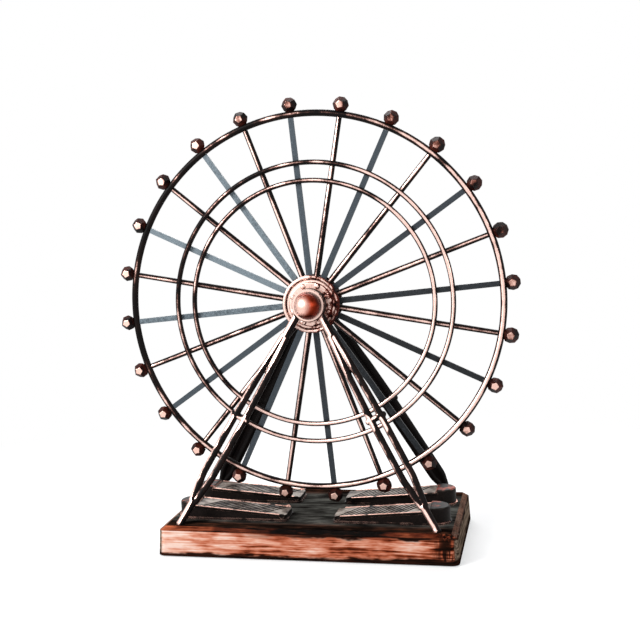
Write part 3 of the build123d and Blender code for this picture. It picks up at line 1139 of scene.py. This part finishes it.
def finish_piece(
    piece: bpy.types.Object,
    body: Body,
    material: bpy.types.Material,
    nodes: list[str],
) -> None:
    """Give a piece its finish, its body and the frame pieces that it stands for.

    Args:
        piece: The piece.
        body: The body that it rides on.
        material: The finish.
        nodes: The frame pieces that it replaces.
    """
    piece.data.materials.clear()
    piece.data.materials.append(material)
    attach(piece, body.value)
    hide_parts(*nodes)
    LOG.info("%s: %d faces, %s", piece.name, len(piece.data.polygons), material.name)


def dress(nodes: list[str], material: bpy.types.Material) -> None:
    """Give a material to frame pieces that are shown as they are.

    Args:
        nodes: Their names.
        material: The finish.
    """
    for node in nodes:
        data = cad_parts[node].data
        data.materials.clear()
        data.materials.append(material)
        LOG.info("%s: frame piece, %s", node, material.name)


def nodes_named(start: str) -> list[str]:
    """Find frame pieces by the start of their names.

    Args:
        start: What the names start with.

    Returns:
        Their names in order.
    """
    return sorted(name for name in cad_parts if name.startswith(start))


def axle_height() -> float:
    """Measure where the wheel's middle is.

    Returns:
        Height of the axle's middle in metres, from the hub drum's box.
    """
    low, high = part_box("hub_drum")
    return (low.z + high.z) / 2


@dataclass
class WheelLattice:
    """Rim, two inner rings and the spokes of the wheel."""

    unevenness: float = 0.1

    def finishes(self) -> dict[str, AntiqueCopper]:
        """Finishes of the wires: rubbed on both faces, less than half of each wire's width, and that pale
        band is partly painted highlight.

        Returns:
            Finish of the rim, of the rings and of the round spokes.
        """
        wire = AntiqueCopper(
            "rim_wire_wear_and_painted_highlight",
            both_faces=True,
            # The pale band along each wire's front is partly painted highlight, and its black sides partly
            # painted shade.
            rub_and_light=(-0.1, -1.0, 0.15),
            wear_and_highlight_start=0.9,
            wear_and_highlight_end=1.02,
            edge_wear=0.0,
            lean=wheel_lean(),
            lean_wear_and_light=0.1,
            blotch_mm=(14.0, 14.0, 14.0),
            blotch=0.5,
        )
        ring = replace(wire, name="ring_wire_wear_and_painted_highlight", wear_and_highlight_start=0.86, wear_and_highlight_end=0.99, lean_wear_and_light=0.14)
        rod = replace(
            wire,
            name="spoke_rod_wear_and_painted_highlight",
            rub_and_light=(-0.25, -1.0, 0.0),
            wear_and_highlight_start=0.91,
            wear_and_highlight_end=1.0,
            blotch_mm=(16.0, 16.0, 16.0),
            blotch=0.3,
            lean_wear_and_light=0.0,
        )
        return {"rim": wire, "ring": ring, "rod": rod}

    def build(self) -> None:
        """Sweep the rings over their frame pieces and dress the spokes."""
        tree = ring_tree()
        finishes = {use: finish.build() for use, finish in self.finishes().items()}
        uses = {"wheel_rim": "rim", "wheel_outer_ring": "ring", "wheel_inner_ring": "ring"}
        for seed, (node, use) in enumerate(uses.items()):
            low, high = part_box(node)
            wire = (high.y - low.y) / 2
            ring = grow(
                f"swept_{node}",
                tree,
                {
                    "Radius": (high.x - low.x) / 2 - wire,
                    "Wire Radius": wire,
                    "Depth": (high.y + low.y) / 2,
                    "Axle Height": axle_height(),
                    "Unevenness": self.unevenness,
                    "Seed": float(seed),
                    "Material": finishes[use],
                },
            )
            finish_piece(ring, Body.WHEEL, finishes[use], [node])
        dress(nodes_named("round_spoke"), finishes["rod"])
        strip = BlackenedStrip("blackened_flat_strip", replace(wheel_lean(), by_turn=True))
        dress(["flat_spokes"], strip.build())


@dataclass
class CapsuleCircle:
    """The faceted capsules round the rim."""

    radius_mm: float = 3.0
    edge_mm: float = 0.16
    end_facet: float = 0.483
    spread: float = 0.03

    def finish(self) -> AntiqueCopper:
        """Nearly black, with the end facets and some corners rubbed to pink copper.

        Returns:
            The finish.
        """
        return AntiqueCopper(
            "rubbed_faceted_capsule",
            both_faces=True,
            black="#0a0404",
            brown="#4a1d14",
            copper="#a0604f",
            bright="#e9c0b2",
            rub_and_light=(-0.1, -1.0, 0.0),
            wear_and_highlight_start=0.76,
            wear_and_highlight_end=0.98,
            edge_mm=0.25,
            edge_wear=0.1,
            lean=Lean((-0.7, 0.0, -0.7), (0.0, 0.0, axle_height() / MM), 75.0),
            lean_wear_and_light=0.16,
            blotch_mm=(5.0, 5.0, 5.0),
            blotch=0.6,
        )

    def bead(self, radius: float, length: float) -> bpy.types.Object:
        """Make one capsule about its own middle, with softened edges.

        Args:
            radius: To the corners round the middle.
            length: Along the axle.

        Returns:
            The hidden template.
        """
        fifth = 2 * math.pi / 5
        flat = math.cos(fifth / 2)
        small = radius * self.end_facet
        # The sides are flat pentagons when the corners round the middle zigzag by this much.
        narrowing = (radius - small) * flat / (radius * (1 - flat))
        end = length / 2
        zigzag = end / (1 + 2 * narrowing)
        build = bmesh.new()
        rings = []
        # Each level's radius, its depth, and its turn in quarters of a fifth of the circle.
        levels = [(small, -end, 1), (radius, -zigzag, 1), (radius, zigzag, 3), (small, end, 3)]
        for ring_radius, depth, first in levels:
            turns = [fifth * (first / 4 + step) for step in range(5)]
            spots = [(ring_radius * math.cos(turn), depth, ring_radius * math.sin(turn)) for turn in turns]
            rings.append([build.verts.new(spot) for spot in spots])
        front, outer, inner, back = rings
        build.faces.new(front)
        build.faces.new(back)
        for step in range(5):
            after = (step + 1) % 5
            build.faces.new([front[step], outer[step], inner[step], outer[after], front[after]])
            build.faces.new([back[step], inner[step], outer[after], inner[after], back[after]])
        bmesh.ops.bevel(
            build,
            geom=build.edges[:],
            offset=self.edge_mm * MM,
            segments=2,
            profile=0.6,
            affect="EDGES",
        )
        return template("capsule_template", build)

    def build(self) -> None:
        """Set the capsules round the rim, each where its frame piece is."""
        nodes = nodes_named("capsule")
        boxes = [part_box(node) for node in nodes]
        height = axle_height()
        centres = [(low + high) / 2 for low, high in boxes]
        length = boxes[0][1].y - boxes[0][0].y
        reach = max(max(high.x for low, high in boxes), height - min(low.z for low, high in boxes))
        radius = self.radius_mm * MM
        first = math.atan2(centres[0].z - height, centres[0].x)
        material = self.finish().build()
        capsules = grow(
            "faceted_capsules",
            pattern_tree(),
            {
                "Piece": self.bead(radius, length),
                "Count": len(nodes),
                "Circle Radius": reach - radius,
                "First Angle": first,
                "Axle Height": height,
                "Size Spread": self.spread,
                "Seed": 4,
                "Material": material,
            },
        )
        finish_piece(capsules, Body.WHEEL, material, nodes)


@dataclass
class Hub:
    """Drum and flanges in the middle of the wheel."""

    voxel_mm: float = 0.14
    rounds: int = 3

    def finish(self) -> AntiqueCopper:
        """Pink copper with dark dents, paler at the left as painted light and darker at the right as painted
        shade.

        Returns:
            The finish.
        """
        return AntiqueCopper(
            "hub_casting_wear_and_painted_light",
            both_faces=True,
            black="#120504",
            brown="#5c1d11",
            copper="#bb5f49",
            bright="#f0d0c4",
            rub_and_light=(-0.5, -1.0, 0.15),
            wear_and_highlight_start=0.5,
            wear_and_highlight_end=0.85,
            edge_wear=0.15,
            # This lean paints the hub lit at the left and shaded at the right.
            lean=Lean((-1.0, 0.0, 0.25), (0.0, 0.0, axle_height() / MM), 12.0),
            lean_wear_and_light=0.42,
            blotch_mm=(2.5, 2.5, 2.5),
            blotch=2.2,
            grain=0.6,
            pit_mm=0.04,
        )

    def build(self) -> None:
        """Dress the drum and rebuild the flanges as soft castings."""
        material = self.finish().build()
        for node in nodes_named("hub_flange"):
            flange = cast_skin(f"cast_{node}", node, self.voxel_mm, self.rounds)
            finish_piece(flange, Body.WHEEL, material, [node])
        dress(["hub_drum"], material)


@dataclass
class Axle:
    """Axle with its polished balls, the bearings, the washers and the legs' screws."""

    # The ball's pale patch at the front left is a painted highlight, and its dark red far side is painted
    # shade.
    ball_finish: AntiqueCopper = AntiqueCopper(
        "buffed_copper_ball_painted_highlight",
        both_faces=True,
        black="#4a1206",
        brown="#93301a",
        copper="#c25a41",
        bright="#f3c9bb",
        rub_and_light=(-0.55, -0.85, 0.05),
        wear_and_highlight_start=0.3,
        wear_and_highlight_end=0.98,
        edge_wear=0.0,
        blotch_mm=(6.0, 6.0, 6.0),
        blotch=0.35,
        grain=0.05,
        pit_mm=0.004,
        black_metal=1.0,
        black_roughness=0.4,
        copper_roughness=0.34,
    )
    bearing_finish: AntiqueCopper = AntiqueCopper(
        "rubbed_bearing_boss",
        both_faces=True,
        copper="#b06a56",
        bright="#f0d0c4",
        wear_and_highlight_start=0.3,
        wear_and_highlight_end=0.7,
        blotch_mm=(2.5, 2.5, 2.5),
        blotch=1.6,
    )

    def build(self) -> None:
        """Dress the axle's pieces."""
        dress(nodes_named("axle"), self.ball_finish.build())
        dress(nodes_named("bearing"), self.bearing_finish.build())
        dress(["thrust_washers", "leg_screws"], TurnedSteel().build())


@dataclass
class Legs:
    """The four legs of the stand."""

    voxel_mm: float = 0.2
    rounds: int = 3
    front_finish: AntiqueCopper = AntiqueCopper(
        "leg_casting_wear_and_painted_highlight",
        # Pale on the faces turned to the front left is partly painted highlight, and black on the far faces
        # partly painted shade.
        rub_and_light=(-0.75, -0.6, 0.25),
        wear_and_highlight_start=0.82,
        wear_and_highlight_end=0.93,
        edge_wear=0.0,
        # The foot, the crossbar and the strap at the bearing.
        lean=Zones(((13.0, 10.0), (48.5, 3.5), (82.0, 18.0))),
        lean_wear_and_light=0.32,
        blotch_mm=(3.0, 3.0, 6.0),
        blotch=0.4,
    )
    # The rear legs are kept black on the faces turned forward, partly painted shade from their place behind
    # the wheel.
    rear_finish: AntiqueCopper = AntiqueCopper(
        "rear_leg_casting_black_and_painted_shade",
        brown="#0f0a09",
        rub_and_light=(0.5, 0.85, 0.25),
        wear_and_highlight_start=0.8,
        wear_and_highlight_end=0.95,
        edge_wear=0.0,
    )

    def build(self) -> None:
        """Rebuild the legs as soft castings."""
        for finish, end in ((self.front_finish, "front"), (self.rear_finish, "rear")):
            material = finish.build()
            for node in nodes_named(f"leg_{end}"):
                leg = cast_skin(f"cast_{node}", node, self.voxel_mm, self.rounds)
                finish_piece(leg, Body.STAND, material, [node])


@dataclass
class Plinth:
    """Plinth, its pad and the four ramps on it."""

    def build(self) -> None:
        """Dress the plinth and the ramps."""
        low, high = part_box("base_plinth")
        finish = PlinthCopper("brushed_plinth_casting", high.x / MM, high.y / MM)
        dress(["base_plinth"], finish.build())
        dress(["base_pad"], Felt().build())
        dress(nodes_named("ramp"), RampCopper().build())


# ---- Studio -------------------------------------------------------------------------------
WHITE = {"Color": linear("#ffffff"), "Strength": 1.0}
SOFT_LIGHT = {"Color": linear("#eef2f7"), "Strength": 0.5}


@dataclass
class Studio:
    """Camera at the photograph's angle, soft lamps, a pale floor and a white background."""

    focal_pixels: float = 1185.09
    frame_pixels: float = 640.0
    axis_pixel: tuple[float, float] = (250.0, 350.0)
    camera_mm: tuple[float, float, float] = (86.455, -438.081, 131.350)
    turn_left: float = 0.2494
    tilt_down: float = 0.1284
    roll: float = -0.0399
    sensor_mm: float = 36.0
    lamp_aim_mm: tuple[float, float, float] = (0.0, 0.0, 70.0)
    floor_reach_mm: float = 3000.0
    floor_clear_mm: float = 90.0
    floor_fade_mm: float = 260.0

    def camera(self) -> None:
        """Place the camera that takes the photograph's view."""
        forward = Vector(
            (
                -math.sin(self.turn_left) * math.cos(self.tilt_down),
                math.cos(self.turn_left) * math.cos(self.tilt_down),
                -math.sin(self.tilt_down),
            )
        )
        level_right = Vector((math.cos(self.turn_left), math.sin(self.turn_left), 0.0))
        level_up = level_right.cross(forward)
        right = math.cos(self.roll) * level_right + math.sin(self.roll) * level_up
        up = math.cos(self.roll) * level_up - math.sin(self.roll) * level_right
        data = bpy.data.cameras.new("photograph_view")
        data.sensor_width = self.sensor_mm
        data.lens = self.focal_pixels / self.frame_pixels * self.sensor_mm
        half = self.frame_pixels / 2
        data.shift_x = (half - self.axis_pixel[0]) / self.frame_pixels
        data.shift_y = (self.axis_pixel[1] - half) / self.frame_pixels
        data.clip_start = 0.01
        holder = bpy.data.objects.new("photograph_view", data)
        turn = Matrix((right, up, -forward)).transposed().to_4x4()
        holder.matrix_world = Matrix.Translation(Vector(self.camera_mm) * MM) @ turn
        bpy.context.scene.collection.objects.link(holder)
        bpy.context.scene.camera = holder

    def lamp(self, name: str, place_mm: tuple[float, float, float], size_mm: float, watts: float) -> None:
        """Add a square soft lamp that points at the middle of the wheel.

        Args:
            name: The lamp's name.
            place_mm: Its place.
            size_mm: Its width.
            watts: Its power.
        """
        data = bpy.data.lights.new(name, "AREA")
        data.size = size_mm * MM
        data.energy = watts
        holder = bpy.data.objects.new(name, data)
        place = Vector(place_mm) * MM
        aim = Vector(self.lamp_aim_mm) * MM - place
        holder.rotation_euler = aim.to_track_quat("-Z", "Y").to_euler()
        holder.location = place
        bpy.context.scene.collection.objects.link(holder)

    def seen(self, tree: bpy.types.NodeTree) -> bpy.types.NodeSocket:
        """Tell rays that the eye, a gloss or a glass sends from rays of light.

        Args:
            tree: The tree that gets the nodes.

        Returns:
            1 for a ray that sees the background, 0 for one that lights the object.
        """
        path = add_node(tree, "ShaderNodeLightPath").outputs
        seen = calculate(tree, "MAXIMUM", path["Is Camera Ray"], path["Is Glossy Ray"])
        return calculate(tree, "MAXIMUM", seen, path["Is Transmission Ray"])

    def world(self) -> None:
        """Light everything evenly from all round, in front of a white background."""
        world = bpy.data.worlds.new("white_studio")
        world.use_nodes = True
        bpy.context.scene.world = world
        tree = world.node_tree
        tree.nodes.clear()
        soft = add_node(tree, "ShaderNodeBackground", values=SOFT_LIGHT).outputs[0]
        white = add_node(tree, "ShaderNodeBackground", values=WHITE).outputs[0]
        mixed = add_node(tree, "ShaderNodeMixShader", {0: self.seen(tree), 1: soft, 2: white}).outputs[0]
        add_node(tree, "ShaderNodeOutputWorld", {"Surface": mixed})

    def floor(self) -> None:
        """Lay the pale floor, which takes the object's shadow and fades into the white behind it."""
        mesh = bpy.data.meshes.new("floor")
        reach = self.floor_reach_mm * MM
        corners = [(-reach, -reach, 0), (reach, -reach, 0), (reach, reach, 0), (-reach, reach, 0)]
        mesh.from_pydata(corners, [], [(0, 1, 2, 3)])
        floor = bpy.data.objects.new("floor", mesh)
        bpy.context.scene.collection.objects.link(floor)
        material = bpy.data.materials.new("white_card")
        material.use_nodes = True
        tree = material.node_tree
        shader = tree.nodes["Principled BSDF"]
        shader.inputs["Base Color"].default_value = linear("#f4f4f4")
        shader.inputs["Roughness"].default_value = 0.9
        place = add_node(tree, "ShaderNodeTexCoord").outputs["Object"]
        away = add_node(tree, "ShaderNodeVectorMath", {0: place}, operation="LENGTH").outputs["Value"]
        fade = fit(tree, away, self.floor_clear_mm * MM, self.floor_fade_mm * MM, 0.5, 1.0)
        share = calculate(tree, "MULTIPLY", fade, self.seen(tree))
        white = add_node(tree, "ShaderNodeEmission", values=WHITE).outputs[0]
        mixed = add_node(tree, "ShaderNodeMixShader", {0: share, 1: shader.outputs[0], 2: white}).outputs[0]
        tree.links.new(mixed, tree.nodes["Material Output"].inputs["Surface"])
        mesh.materials.append(material)

    def build(self) -> None:
        """Set up the whole studio."""
        bpy.context.scene.view_settings.view_transform = "Standard"
        self.camera()
        self.lamp("key_softbox", (-480, -520, 420), 360, 9.0)
        self.lamp("fill_softbox", (560, -420, 260), 400, 1.5)
        self.lamp("back_softbox", (-100, 620, 520), 500, 6.0)
        self.world()
        self.floor()


def main() -> None:
    """Build the studio, then each sub-assembly."""
    logging.basicConfig(level=logging.INFO, format="%(message)s")
    Studio().build()
    for assembly in (WheelLattice(), CapsuleCircle(), Hub(), Axle(), Legs(), Plinth()):
        LOG.info("%s", type(assembly).__name__)
        assembly.build()


if __name__ == "__main__":
    main()
